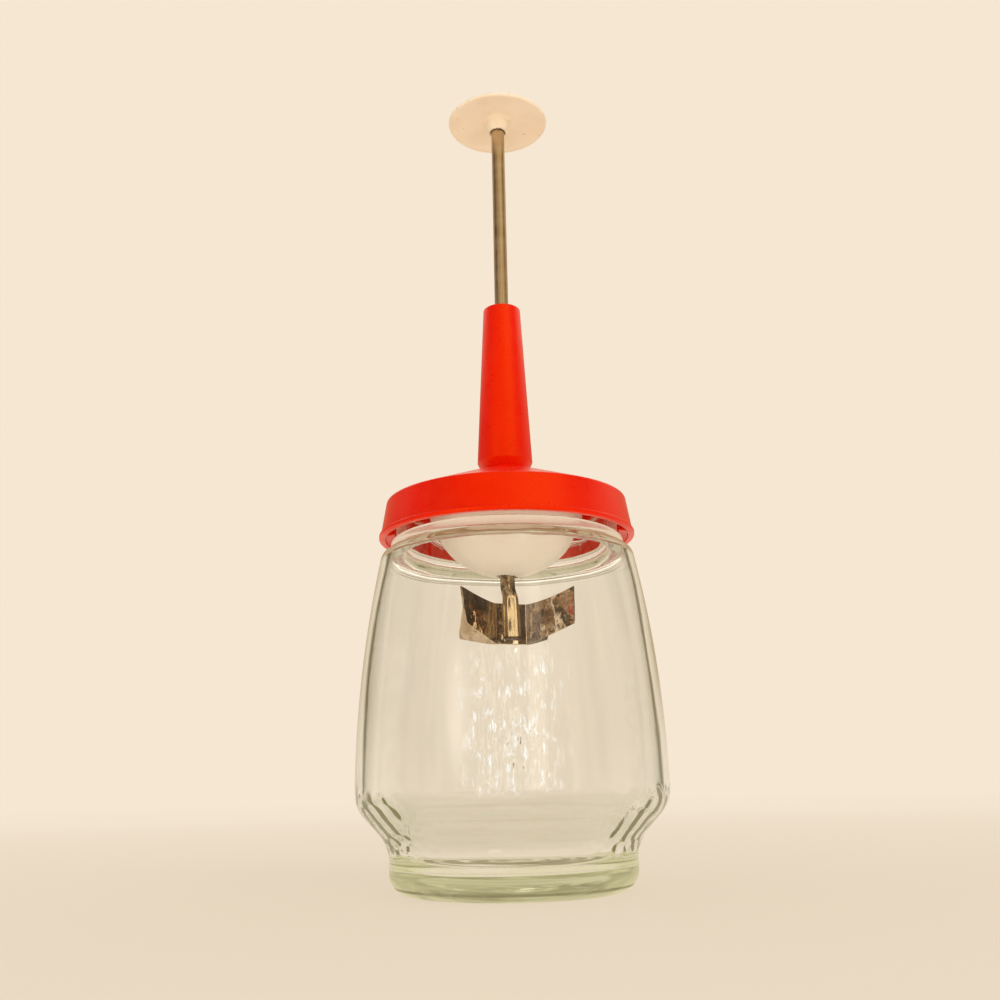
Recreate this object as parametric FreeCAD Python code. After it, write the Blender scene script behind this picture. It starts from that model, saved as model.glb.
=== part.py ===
import FreeCAD, Part
import math
import os
from FreeCAD import Vector

# Plunger food chopper: a glass jar, a turn-to-lock lid that carries a tall guide
# sleeve, and a sprung rod with a knob above and crossed blades below.
# Units are millimetres. +Z is up, and the origin is the middle of the surface
# that the jar stands on. The front is -Y.

# ---------------------------------------------------------------- fits
running_clearance = 0.05       # radial, for the rod in its guides
press_clearance = 0.02         # radial, for pieces pushed together for good
slip_clearance = 0.12          # radial, for still pieces that are slid together
travel_clearance = 0.40        # radial, for a loose piece that moves inside another
seat_clearance = 0.30          # between two faces that don't have to meet
floor_clearance = 1.5          # blades to the jar's floor at full stroke

# ---------------------------------------------------------------- jar
jar_height = 125.2             # standing surface to the mouth
neck_radius = 38.3
neck_wall = 3.0
neck_height = 14.0             # top of the shoulder to the mouth
jar_wall = 2.9
jar_floor = 8.4                # top of the thick glass base
foot_height = 9.8              # where the foot starts to flare
heel_round = 7.0
standing_ring_width = 3.0
base_hollow = 1.8              # how far the middle of the base is pushed up
base_hollow_slope = 4.0        # width of the slope into it
flare_angle = math.radians(43)
flare_low_round = 13.0
flare_high_round = 12.0
shoulder_width = 5.4           # how much wider than the neck the shoulder is
belly_swell = 7.6              # how much wider than the shoulder the belly is
foot_set_in = 11.3             # how much narrower than the belly the foot is
shoulder_round = 4.0
neck_root_round = 1.7
floor_round = 8.0
mouth_round = 0.8

# ---------------------------------------------------------------- turn-to-lock closure
lug_count = 4
lug_angle = 20.0               # degrees of the circle that one lug takes up
lug_height = 1.9
lug_rise = 1.2                 # lid's lower edge to the underside of a lug
lug_clearance = 0.6            # lug to neck
ridge_angle = 50.0             # degrees that one glass ridge takes up
ridge_depth = 1.7
ridge_height = 1.6
lock_gap = 0.5                 # lug to ridge, above it
lock_turn = 35.0               # degrees from set down to locked
stop_angle = 3.5               # degrees that the stop at a ridge's end takes up
stop_gap = 1.5                 # degrees between a locked lug and the stop

# ---------------------------------------------------------------- sealing ring
seal_thickness = 1.2
seal_inner_overhang = 0.4      # how far the ring reaches inside the mouth
seal_outer_overhang = 1.3      # how far it reaches outside the neck

# ---------------------------------------------------------------- lid
lid_wall = 1.8
skirt_depth = 12.9             # upper edge to lower edge
skirt_room = 3.5               # neck to the outside of the skirt's upper edge
skirt_draft = 2.1              # how much wider the skirt is at its lower edge
skirt_edge_round = 0.8
lip_height = 1.5               # bead along the lower edge
lip_bead = 0.35
rim_thickness = 1.7            # seal to the upper edge
cone_angle = math.radians(20.4)
land_radius = 8.5              # flat at the top of the cone, under the sleeve
seal_rib_width = 1.3
seal_rib_depth = 0.9
cup_rib_width = 1.7
cup_rib_depth = 3.0

# ---------------------------------------------------------------- plunger rod
rod_radius = 2.5
spade_above_edge = 1.7         # blades' lower edge to the end of the flattened tip
spade_height = 15.7
spade_width = 5.8
spade_thickness = 1.9
spade_corner = 1.1
spade_offset = 0.9             # how far to the right of the rod's axis its middle lies
spade_back = 0.1               # how far behind the rod's axis its flat face lies
spade_ramp = 2.4               # height of the slope from full rod to flat face
rod_end_round = 0.6
plunger_turn = 16.0            # degrees, how the blades stand at rest

# ---------------------------------------------------------------- blades
blade_thickness = 0.8
blade_flat_width = 10.2
blade_height = 13.8
blade_below_cup = 9.1          # guard cup to the top of the blades' flats at rest
blade_wing = 18.2
blade_tip_rise = 4.2           # how far the wings' upper edges rise
blade_bend_round = 0.8         # inside the bends
blade_bevel = 3.0              # height of the ground face along the cutting edge
blade_edge = 0.15              # thickness left at the cutting edge
front_edge_rise = 5.3          # how far the front wings' cutting edges rise
front_right_bend = math.radians(46.5)
front_left_bend = math.radians(46)
rear_edge_rise = 3.9
rear_right_bend = math.radians(48)
rear_left_bend = math.radians(64)

# ---------------------------------------------------------------- spring and what it bears on
spring_wire = 0.7
spring_coils = 20
spring_rod_gap = 1.15          # rod to the inside of the coils
spring_bore_gap = 0.95         # coils to the sleeve's bore
washer_thickness = 0.8
washer_rod_gap = 0.25
clip_thickness = 0.8
clip_groove_depth = 0.6
clip_reach = 1.9               # how far the clip stands out from the rod
clip_prong_angle = 34.0        # degrees of one of the clip's three prongs
clip_mouth_angle = 70.0        # degrees of the clip's open side
clip_relief = 1.1              # how far the clip's pockets reach out from the groove
spring_spare = 4.5             # left between the coils, in all, at full stroke
buffer_thickness = 1.5
buffer_rod_gap = 0.4

# ---------------------------------------------------------------- guide sleeve
sleeve_cap = 4.6               # thickness of the sleeve's closed top
sleeve_wall = 1.45             # at the top
sleeve_base_radius = 9.75
sleeve_foot_radius = 8.3
sleeve_foot_height = 3.0       # height of the undercut foot
sleeve_edge_round = 0.5
spigot_wall = 1.9
spigot_below_nut = 1.0
nut_height = 3.6
nut_across_flats = 21.0
nut_boss_margin = 0.8          # lid's flat boss beyond the nut's corners
nut_bore_chamfer = 0.6
bush_flange = 1.2
bush_wall = 0.9
bush_recess = 0.3              # bush's top below the sleeve's top

# ---------------------------------------------------------------- guard cup
cup_mouth_gap = 7.8            # jar's mouth to the widest part of the bowl
cup_wall = 1.6
cup_rise = 3.1                 # sealing ring's top to the bowl's centre
cup_boss_radius = 6.2
cup_boss_height = 2.5          # bottom of the bowl to the spring's seat

# ---------------------------------------------------------------- knob
knob_radius = 19.0
knob_rim_height = 1.5
knob_dome = 3.3                # rim's upper edge to the crown
knob_hollow = 2.0              # how far the underside curves up
knob_hub_depth = 3.2           # hub's lower end to the rim's lower edge
knob_hub_radius = 3.75
knob_hub_root_radius = 4.3
knob_hub_fillet = 1.4
knob_mouth_chamfer = 0.35
knob_cap = 2.2                 # plastic above the rod's end
knob_gap = 6.4                 # knob's hub to the sleeve at full stroke

# ---------------------------------------------------------------- worked out from the above
mouth_bore = neck_radius - neck_wall
shoulder_height = jar_height - neck_height
shoulder_radius = neck_radius + shoulder_width
belly_radius = shoulder_radius + belly_swell
foot_radius = belly_radius - foot_set_in

seal_top = jar_height + seal_thickness
seal_inner = mouth_bore - seal_inner_overhang
seal_outer = neck_radius + seal_outer_overhang
lid_edge = seal_top + rim_thickness
lid_bottom = lid_edge - skirt_depth
skirt_top_radius = neck_radius + skirt_room
skirt_bottom_radius = skirt_top_radius + skirt_draft
cone_rise = math.tan(cone_angle)
cone_wall = lid_wall / math.cos(cone_angle)
land_height = lid_edge + (skirt_top_radius - land_radius) * cone_rise
nut_corner_radius = nut_across_flats / 2 / math.cos(math.pi / 6)

rod_guide = rod_radius + running_clearance
spring_radius = rod_radius + spring_rod_gap + spring_wire / 2
sleeve_bore = spring_radius + spring_wire / 2 + spring_bore_gap
sleeve_top_radius = sleeve_bore + sleeve_wall
spigot_radius = sleeve_bore + spigot_wall
washer_outer = sleeve_bore - travel_clearance
groove_radius = rod_radius - clip_groove_depth

cup_radius = mouth_bore - cup_mouth_gap
cup_middle = seal_top + cup_rise
cup_bottom = cup_middle - cup_radius
spring_seat = cup_bottom + cup_boss_height
spring_bottom = spring_seat + washer_thickness
blade_bottom = cup_bottom - blade_below_cup - blade_height
plunger_travel = blade_bottom - jar_floor - floor_clearance
spring_solid = (spring_coils + 1) * spring_wire
spring_top = spring_bottom + plunger_travel + spring_solid + spring_spare
clip_bottom = spring_top + washer_thickness
clip_top = clip_bottom + clip_thickness
buffer_top = clip_top + buffer_thickness
cap_underside = buffer_top + bush_flange
sleeve_top = cap_underside + sleeve_cap

spade_bottom = blade_bottom + spade_above_edge
spade_top = spade_bottom + spade_height
hub_bottom = sleeve_top + plunger_travel + knob_gap
knob_rim_bottom = hub_bottom + knob_hub_depth
knob_rim_top = knob_rim_bottom + knob_rim_height
knob_crown = knob_rim_top + knob_dome
rod_top = knob_crown - knob_cap

UP = Vector(0, 0, 1)
ORIGIN = Vector(0, 0, 0)
SAME_POINT = 1e-6              # outline points closer than this count as one


# ---------------------------------------------------------------- drawing helpers
def at(radius, height):
    """A point of an outline that is turned about the axis."""
    return Vector(radius, 0, height)


def line(start, end):
    return Part.LineSegment(start, end).toShape()


def arc(centre, radius, start_angle, end_angle):
    """An arc in the outline's plane. Angles are from outward, turning upward."""
    def on_circle(angle):
        return centre + at(radius * math.cos(angle), radius * math.sin(angle))
    middle = (start_angle + end_angle) / 2
    return Part.Arc(on_circle(start_angle), on_circle(middle), on_circle(end_angle)).toShape()


def start_of(edge):
    return edge.valueAt(edge.FirstParameter)


def end_of(edge):
    return edge.valueAt(edge.LastParameter)


def turned(pieces, sweep=360.0):
    """A solid from outline pieces in order. Gaps between them become straight lines."""
    edges = []
    for number, piece in enumerate(pieces):
        after = pieces[(number + 1) % len(pieces)]
        here = piece if isinstance(piece, Vector) else end_of(piece)
        there = after if isinstance(after, Vector) else start_of(after)
        if not isinstance(piece, Vector):
            edges.append(piece)
        if here.distanceToPoint(there) > SAME_POINT:
            edges.append(line(here, there))
    face = Part.Face(Part.Wire(edges))
    return face.revolve(ORIGIN, UP, sweep)


def tube(inner, outer, bottom, top):
    ring = Part.makeCylinder(outer, top - bottom, at(0, bottom))
    return ring.cut(Part.makeCylinder(inner, top - bottom, at(0, bottom)))


def ring_sector(inner, outer, bottom, top, start_angle, sweep):
    """A stretch of a square-edged ring, from start_angle over sweep, in degrees."""
    corners = [at(inner, bottom), at(outer, bottom), at(outer, top), at(inner, top)]
    sector = turned(corners, sweep)
    sector.rotate(ORIGIN, UP, start_angle)
    return sector


# ---------------------------------------------------------------- jar
def wall_sweep(wall):
    """Long curve from belly to shoulder, set in by wall, with the centre of the
    shoulder's round and the angle at which the two meet."""
    belly = flare_top()
    corner = at(shoulder_radius - shoulder_round, shoulder_height - shoulder_round)
    inward = corner.x - belly_radius
    upward = corner.z - belly
    radius = (inward**2 + upward**2 - shoulder_round**2) / (2 * (belly_radius - shoulder_radius))
    centre = at(belly_radius - radius, belly)
    end_angle = math.atan2(corner.z - centre.z, corner.x - centre.x)
    return arc(centre, radius - wall, 0, end_angle), corner, end_angle


def flare_top():
    """Height at which the flare has reached the belly and the wall stands upright."""
    straight = flare_line_length()
    arcs = (flare_low_round + flare_high_round) * math.sin(flare_angle)
    return foot_height + arcs + straight * math.cos(flare_angle)


def flare_line_length():
    arcs = (flare_low_round + flare_high_round) * (1 - math.cos(flare_angle))
    return (belly_radius - foot_radius - arcs) / math.sin(flare_angle)


def jar_outside():
    """Outline from the standing ring up to the neck's upper edge."""
    heel = arc(at(foot_radius - heel_round, heel_round), heel_round, -math.pi / 2, 0)
    low_centre = at(foot_radius + flare_low_round, foot_height)
    low = arc(low_centre, flare_low_round, math.pi, math.pi - flare_angle)
    high_centre = at(belly_radius - flare_high_round, flare_top())
    high = arc(high_centre, flare_high_round, -flare_angle, 0)
    sweep, corner, sweep_end = wall_sweep(0)
    shoulder = arc(corner, shoulder_round, sweep_end, math.pi / 2)
    root_centre = at(neck_radius + neck_root_round, shoulder_height + neck_root_round)
    root = arc(root_centre, neck_root_round, -math.pi / 2, -math.pi)
    lip = arc(at(neck_radius - mouth_round, jar_height - mouth_round), mouth_round, 0, math.pi / 2)
    return [heel, low, high, sweep, shoulder, root, lip]


def jar_inside():
    """Outline from the mouth down to the middle of the floor."""
    lip = arc(at(mouth_bore + mouth_round, jar_height - mouth_round), mouth_round,
              math.pi / 2, math.pi)
    sweep, corner, sweep_end = wall_sweep(jar_wall)
    ceiling = corner.z + shoulder_round - jar_wall
    throat_round = neck_root_round
    throat = arc(at(mouth_bore + throat_round, ceiling + throat_round), throat_round,
                 -math.pi, -math.pi / 2)
    shoulder = arc(corner, shoulder_round - jar_wall, math.pi / 2, sweep_end)
    down = Part.Arc(end_of(sweep), sweep.valueAt(sum(sweep.ParameterRange) / 2),
                    start_of(sweep)).toShape()
    high_centre = at(belly_radius - flare_high_round, flare_top())
    high = arc(high_centre, flare_high_round - jar_wall, 0, -flare_angle)
    low_centre = at(foot_radius + flare_low_round, foot_height)
    low_radius = flare_low_round + jar_wall
    floor_centre_height = jar_floor + floor_round
    drop = floor_centre_height - foot_height
    floor_centre = at(low_centre.x - math.sqrt((low_radius + floor_round)**2 - drop**2),
                      floor_centre_height)
    meeting = math.atan2(-drop, low_centre.x - floor_centre.x)
    low = arc(low_centre, low_radius, math.pi - flare_angle, math.pi + meeting)
    bowl = arc(floor_centre, floor_round, meeting, -math.pi / 2)
    return [lip, throat, shoulder, down, high, low, bowl, at(0, jar_floor)]


def jar_underside():
    """Outline from the middle of the hollow base out to the standing ring."""
    ring_inside = foot_radius - heel_round - standing_ring_width
    return [at(0, base_hollow), at(ring_inside - base_hollow_slope, base_hollow),
            at(ring_inside, 0)]


def locking_ridges():
    """Glass ridges on the neck, each with a stop that a locked lug comes up to."""
    shapes = []
    bottom = lid_bottom + lug_rise + lug_height + lock_gap
    top = bottom + ridge_height
    outer = neck_radius + ridge_depth
    root = neck_radius - neck_wall / 2
    pitch = 360.0 / lug_count
    gap_half = (pitch - ridge_angle) / 2
    stop_start = lug_angle / 2 + lock_turn + stop_gap
    stop_bottom = lid_bottom + lug_rise
    for number in range(lug_count):
        middle = number * pitch
        shapes.append(ring_sector(root, outer, bottom, top, middle - gap_half - ridge_angle,
                                  ridge_angle))
        shapes.append(ring_sector(root, outer, stop_bottom, top,
                                  middle - stop_start - stop_angle, stop_angle))
    return shapes


def jar():
    glass = turned(jar_outside() + jar_inside() + jar_underside())
    return glass.fuse(locking_ridges()).removeSplitter()


# ---------------------------------------------------------------- lid and seal
def sealing_ring():
    return tube(seal_inner, seal_outer, jar_height, seal_top)


def skirt_radius(height):
    """Outside of the skirt at a height."""
    return skirt_top_radius + skirt_draft * (lid_edge - height) / skirt_depth


def cone_underside(radius):
    return lid_edge + (skirt_top_radius - radius) * cone_rise - cone_wall


def lid_outside():
    """Outline from the skirt's lower edge over the cone to the hole for the sleeve."""
    lip_top = lid_bottom + lip_height
    low_bead = at(skirt_bottom_radius, lid_bottom + lip_bead)
    high_bead = at(skirt_bottom_radius, lip_top - lip_bead)
    edge_centre = at(skirt_top_radius - skirt_edge_round, lid_edge - skirt_edge_round)
    hole = spigot_radius + slip_clearance
    return [
        at(skirt_bottom_radius - lid_wall, lid_bottom),
        arc(low_bead, lip_bead, -math.pi / 2, 0),
        arc(high_bead, lip_bead, 0, math.pi / 2),
        at(skirt_radius(lip_top), lip_top),
        arc(edge_centre, skirt_edge_round, 0, math.pi / 2 - cone_angle),
        at(land_radius, land_height),
        at(hole, land_height),
    ]


def lid_inside():
    """Outline from the sleeve's hole over the ribs to the inside of the skirt."""
    boss_radius = nut_corner_radius + nut_boss_margin
    hole = spigot_radius + slip_clearance
    cup_rib_outer = cup_radius - cup_wall - slip_clearance
    cup_rib_inner = cup_rib_outer - cup_rib_width
    cup_rib_bottom = cone_underside(cup_rib_outer) - cup_rib_depth
    seal_rib_outer = seal_inner - slip_clearance
    seal_rib_inner = seal_rib_outer - seal_rib_width
    seal_rib_bottom = seal_top - seal_rib_depth
    return [
        at(hole, nut_seat()),
        at(boss_radius, nut_seat()),
        at(cup_rib_inner, cone_underside(cup_rib_inner)),
        at(cup_rib_inner, cup_rib_bottom),
        at(cup_rib_outer, cup_rib_bottom),
        at(cup_rib_outer, cone_underside(cup_rib_outer)),
        at(seal_rib_inner, cone_underside(seal_rib_inner)),
        at(seal_rib_inner, seal_rib_bottom),
        at(seal_rib_outer, seal_rib_bottom),
        at(seal_rib_outer, seal_top),
        at(skirt_radius(seal_top) - lid_wall, seal_top),
    ]


def locking_lugs():
    """Lugs inside the skirt that turn in under the glass ridges."""
    bottom = lid_bottom + lug_rise
    outer = skirt_radius(bottom) - lid_wall / 2
    pitch = 360.0 / lug_count
    return [ring_sector(neck_radius + lug_clearance, outer, bottom, bottom + lug_height,
                        number * pitch - lug_angle / 2, lug_angle)
            for number in range(lug_count)]


def lid():
    return turned(lid_outside() + lid_inside()).fuse(locking_lugs()).removeSplitter()


# ---------------------------------------------------------------- guide sleeve and its pieces
def nut_seat():
    """Height of the flat under the middle of the lid."""
    return cone_underside(nut_corner_radius + nut_boss_margin)


def guide_sleeve():
    slope = (sleeve_base_radius - sleeve_top_radius) / (sleeve_top - land_height - sleeve_foot_height)
    edge_radius = sleeve_top_radius + slope * sleeve_edge_round
    spigot_bottom = nut_seat() - nut_height - spigot_below_nut
    bush_hole = rod_guide + bush_wall + press_clearance
    top_edge = arc(at(edge_radius - sleeve_edge_round, sleeve_top - sleeve_edge_round),
                   sleeve_edge_round, 0, math.pi / 2)
    return turned([
        at(sleeve_bore, spigot_bottom),
        at(spigot_radius, spigot_bottom),
        at(spigot_radius, land_height),
        at(sleeve_foot_radius, land_height),
        at(sleeve_base_radius, land_height + sleeve_foot_height),
        top_edge,
        at(bush_hole, sleeve_top),
        at(bush_hole, cap_underside),
        at(sleeve_bore, cap_underside),
    ])


def sleeve_nut():
    bottom = nut_seat() - nut_height
    bore = spigot_radius + slip_clearance
    corners = []
    for number in range(7):
        angle = math.radians(60 * number)
        corners.append(Vector(nut_corner_radius * math.cos(angle),
                              nut_corner_radius * math.sin(angle), bottom))
    prism = Part.Face(Part.makePolygon(corners)).extrude(UP * nut_height)
    prism = prism.cut(Part.makeCylinder(bore, nut_height, at(0, bottom)))
    chamfer = Part.makeCone(bore + nut_bore_chamfer, bore, nut_bore_chamfer, at(0, bottom))
    return prism.cut(chamfer)


def rod_bush():
    """Flanged guide pushed up into the sleeve's mouth from inside."""
    top = sleeve_top - bush_recess
    barrel = rod_guide + bush_wall
    flange = sleeve_bore - slip_clearance
    return turned([
        at(rod_guide, buffer_top),
        at(flange, buffer_top),
        at(flange, cap_underside),
        at(barrel, cap_underside),
        at(barrel, top),
        at(rod_guide, top),
    ])


def stop_buffer():
    outer = sleeve_bore - travel_clearance
    return tube(rod_radius + buffer_rod_gap, outer, clip_top, buffer_top)


def upper_spring_washer():
    return tube(rod_radius + washer_rod_gap, washer_outer, spring_top, clip_bottom)


def lower_spring_washer():
    return tube(rod_radius + washer_rod_gap, washer_outer, spring_seat, spring_bottom)


def return_spring():
    """Open coils with ground ends, at the length they have with the plunger up."""
    length = spring_top - spring_bottom
    pitch = length / spring_coils
    path = Part.makeHelix(pitch, length + pitch, spring_radius)
    path.translate(at(0, spring_bottom - pitch / 2))
    start = at(spring_radius, spring_bottom - pitch / 2)
    along = Vector(0, 2 * math.pi * spring_radius, pitch)
    section = Part.Wire(Part.Circle(start, along, spring_wire / 2).toShape())
    coil = Part.Wire(path).makePipeShell([section], True, True)
    room = Part.makeCylinder(spring_radius + spring_wire, length, at(0, spring_bottom))
    return coil.common(room)


def guard_cup():
    """Bowl that hangs under the lid, closes the spring in and guides the rod."""
    inner_radius = cup_radius - cup_wall
    collar_top = cone_underside(cup_radius) - seat_clearance
    hole_turn = math.asin(rod_guide / cup_radius)
    boss_turn = math.asin(cup_boss_radius / inner_radius)
    outside = arc(at(0, cup_middle), cup_radius, hole_turn - math.pi / 2, 0)
    inside = arc(at(0, cup_middle), inner_radius, 0, boss_turn - math.pi / 2)
    return turned([
        outside,
        at(cup_radius, collar_top),
        at(inner_radius, collar_top),
        inside,
        at(cup_boss_radius, spring_seat),
        at(rod_guide, spring_seat),
    ])


# ---------------------------------------------------------------- plunger
def set_plunger_turn(shape):
    shape.rotate(ORIGIN, UP, plunger_turn)
    return shape


def spade():
    """The rod's tip, beaten out to a flat tongue that the blades are welded to."""
    corner = Vector(-spade_width / 2, spade_back - spade_thickness, spade_bottom)
    tongue = Part.makeBox(spade_width, spade_thickness, spade_height, corner)
    upper_corners = [edge for edge in tongue.Edges
                     if edge.CenterOfMass.z > spade_top - spade_corner
                     and abs(edge.CenterOfMass.x) > spade_width / 2 - spade_corner]
    tongue = tongue.makeFillet(spade_corner, upper_corners)
    tongue.translate(Vector(spade_offset, 0, 0))
    return tongue


def plunger_rod():
    end = arc(at(rod_radius - rod_end_round, rod_top - rod_end_round), rod_end_round,
              0, math.pi / 2)
    bar = turned([at(0, spade_bottom), at(rod_radius, spade_bottom), end, at(0, rod_top)])
    ramp_top = spade_top + spade_ramp
    room = rod_radius * 2
    behind = Part.Face(Part.makePolygon([
        Vector(-room, spade_back, spade_bottom),
        Vector(-room, spade_back, spade_top),
        Vector(-room, rod_radius, ramp_top),
        Vector(-room, room, ramp_top),
        Vector(-room, room, spade_bottom),
        Vector(-room, spade_back, spade_bottom),
    ])).extrude(Vector(2 * room, 0, 0))
    bar = bar.cut(behind).fuse(spade()).removeSplitter()
    bar = bar.cut(tube(groove_radius, rod_radius * 2, clip_bottom, clip_top))
    return set_plunger_turn(bar)


def strip_section(face, outward, edge_rise=0.0, tip_rise=0.0):
    """Cross-section of a blade strip, from a point on its inner face, through its wall."""
    low = blade_bottom + edge_rise
    high = blade_bottom + blade_height + tip_rise
    back = face + outward * blade_thickness
    return Part.makePolygon([
        back + at(0, low),
        back + at(0, low) - outward * blade_edge,
        face + at(0, low + blade_bevel),
        face + at(0, high),
        back + at(0, high),
        back + at(0, low),
    ])


def half_strip(bend, edge_rise):
    """Right half of the front strip: half the flat, the bend and the rising wing."""
    backward = Vector(0, 1, 0)
    middle = Vector(0, -blade_thickness, 0)
    flat_end = middle + Vector(blade_flat_width / 2, 0, 0)
    bend_centre = flat_end - backward * blade_bend_round
    outward = Vector(math.sin(bend), math.cos(bend), 0)
    along = Vector(math.cos(bend), -math.sin(bend), 0)
    wing_root = bend_centre + outward * blade_bend_round
    wing_tip = wing_root + along * blade_wing
    flat = Part.Face(strip_section(middle, backward)).extrude(flat_end - middle)
    corner = Part.Face(strip_section(flat_end, backward))
    corner = corner.revolve(bend_centre, UP, -math.degrees(bend))
    wing = Part.makeLoft([strip_section(wing_root, outward),
                          strip_section(wing_tip, outward, edge_rise, blade_tip_rise)], True, True)
    return flat.fuse([corner, wing])


def strip(right_bend, left_bend, edge_rise):
    """A strip whose wings come forward, with its back on the plane where the strips meet."""
    left = half_strip(left_bend, edge_rise).mirror(ORIGIN, Vector(1, 0, 0))
    return half_strip(right_bend, edge_rise).fuse(left).removeSplitter()


def front_blade():
    blade = strip(front_right_bend, front_left_bend, front_edge_rise)
    blade.translate(Vector(spade_offset, spade_back + blade_thickness, 0))
    return set_plunger_turn(blade)


def rear_blade():
    """A strip turned half round, so its own right wing is on the left."""
    blade = strip(rear_left_bend, rear_right_bend, rear_edge_rise)
    blade.rotate(ORIGIN, UP, 180)
    blade.translate(Vector(spade_offset, spade_back + blade_thickness, 0))
    return set_plunger_turn(blade)


def retaining_clip():
    """Three-pronged clip that snaps into the rod's groove from one side."""
    inner = groove_radius + press_clearance
    outer = rod_radius + clip_reach
    pocket = groove_radius + clip_relief
    clip = tube(inner, outer, clip_bottom, clip_top)
    mouth = ring_sector(inner / 2, outer * 2, clip_bottom, clip_top, -clip_mouth_angle / 2,
                        clip_mouth_angle)
    clip = clip.cut(mouth)
    half_back = clip_prong_angle / 2
    side_start = clip_mouth_angle / 2 + clip_prong_angle
    reach = 180 - half_back - side_start
    for start in (side_start, 180 + half_back):
        clip = clip.cut(ring_sector(inner / 2, pocket, clip_bottom, clip_top, start, reach))
    return set_plunger_turn(clip)


def dome(edge_radius, edge_height, rise):
    """Centre and radius of the sphere that rises this much from edge to middle."""
    radius = (edge_radius**2 + rise**2) / (2 * rise)
    return at(0, edge_height + rise - radius), radius


def knob():
    """Shallow domed disc with a hollow underside and a hub that holds the rod."""
    rim_radius = knob_rim_height / 2
    edge = knob_radius - rim_radius
    rim = arc(at(edge, knob_rim_bottom + rim_radius), rim_radius, -math.pi / 2, math.pi / 2)
    crown_centre, crown_radius = dome(edge, knob_rim_top, knob_dome)
    crown = arc(crown_centre, crown_radius, math.acos(edge / crown_radius), math.pi / 2)
    hollow_centre, hollow_radius = dome(edge, knob_rim_bottom, knob_hollow)
    root_radius = knob_hub_root_radius + knob_hub_fillet
    hollow = arc(hollow_centre, hollow_radius, math.acos(root_radius / hollow_radius),
                 math.acos(edge / hollow_radius))
    root = start_of(hollow)
    fillet = arc(at(root.x, root.z - knob_hub_fillet), knob_hub_fillet, math.pi, math.pi / 2)
    bore = rod_radius + press_clearance
    bore_top = rod_top + press_clearance
    shape = turned([
        at(bore, hub_bottom + knob_mouth_chamfer),
        at(bore + knob_mouth_chamfer, hub_bottom),
        at(knob_hub_radius, hub_bottom),
        fillet,
        hollow,
        rim,
        crown,
        at(0, bore_top),
        at(bore, bore_top),
    ])
    return set_plunger_turn(shape)


# ---------------------------------------------------------------- export
nodes = [jar, sealing_ring, lid, guide_sleeve, sleeve_nut, rod_bush, stop_buffer,
         upper_spring_washer, lower_spring_washer, return_spring, guard_cup, plunger_rod,
         front_blade, rear_blade, retaining_clip, knob]

os.makedirs("parts", exist_ok=True)
for make in nodes:
    make().exportStep("parts/" + make.__name__ + ".step")
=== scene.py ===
import math
from collections import namedtuple
import bpy
import numpy as np
from mathutils import Matrix, Vector


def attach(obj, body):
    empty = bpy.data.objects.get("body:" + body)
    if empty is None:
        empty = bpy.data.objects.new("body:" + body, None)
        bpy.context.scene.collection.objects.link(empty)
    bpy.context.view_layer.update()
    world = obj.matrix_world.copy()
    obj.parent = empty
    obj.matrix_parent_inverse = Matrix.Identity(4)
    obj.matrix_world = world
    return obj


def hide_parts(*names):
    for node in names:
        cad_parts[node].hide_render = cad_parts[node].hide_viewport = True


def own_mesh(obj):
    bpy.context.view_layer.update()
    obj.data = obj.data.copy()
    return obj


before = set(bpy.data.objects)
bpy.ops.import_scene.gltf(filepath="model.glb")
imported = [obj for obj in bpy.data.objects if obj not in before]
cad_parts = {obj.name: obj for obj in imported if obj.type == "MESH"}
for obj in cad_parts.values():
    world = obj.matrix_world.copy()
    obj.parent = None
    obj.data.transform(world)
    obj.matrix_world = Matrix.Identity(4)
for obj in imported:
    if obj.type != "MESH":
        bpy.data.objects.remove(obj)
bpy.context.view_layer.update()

# A plunger food chopper: glass jar, red lid with a tall sleeve, white bowl under the lid,
# and a steel rod with a knob above and crossed blades below. Outlines are in millimetres
# as (radius, height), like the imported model's; meshes are in metres. The front is -Y.
MM = 0.001

# ---- sizes shared by several pieces
JAR_HEIGHT = 125.2
NECK_RADIUS = 38.3
NECK_BORE = 35.3
BELLY_RADIUS = 51.3
JAR_WALL = 2.9
LID_BOTTOM = 115.2
LID_EDGE = 128.1
LID_TOP = 140.484
SKIRT_TOP = 41.8
SKIRT_DRAFT = 2.1
LID_WALL = 1.8
CONE_SLOPE = math.tan(math.radians(20.4))
CONE_WALL = 1.92
SEAL_TOP = 126.4
SLEEVE_TOP = 202.6
CAP_UNDERSIDE = 198.0
SLEEVE_BORE = 5.3
CUP_RADIUS = 27.5
CUP_WALL = 1.6
CUP_MIDDLE = 129.5
SPRING_SEAT = 104.5
SPRING_BOTTOM = 105.3
SPRING_TOP = 193.7
SPRING_RADIUS = 4.0
SPRING_WIRE = 0.7
SPRING_COILS = 20
ROD_RADIUS = 2.5
ROD_GUIDE = 2.55
ROD_TOP = 284.0
BLADE_BOTTOM = 79.1
BLADE_THICKNESS = 0.8
SPADE_BOTTOM = 80.8
SPADE_TOP = 96.5
SPADE_OFFSET = 0.9
SPADE_BACK = 0.1
CLIP_BOTTOM = 194.5
CLIP_TOP = 195.3
HUB_BOTTOM = 278.2
KNOB_RIM_BOTTOM = 281.4
KNOB_RADIUS = 19.0
PLUNGER_TURN = 16.0

# ---- colours
BACKGROUND = (246, 231, 211)


def linear(colour):
    """Scene values of a colour given as red, green and blue from 0 to 255."""
    values = [c / 255 for c in colour]
    return tuple(c / 12.92 if c <= 0.04045 else ((c + 0.055) / 1.055) ** 2.4
                 for c in values) + (1.0,)


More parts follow.
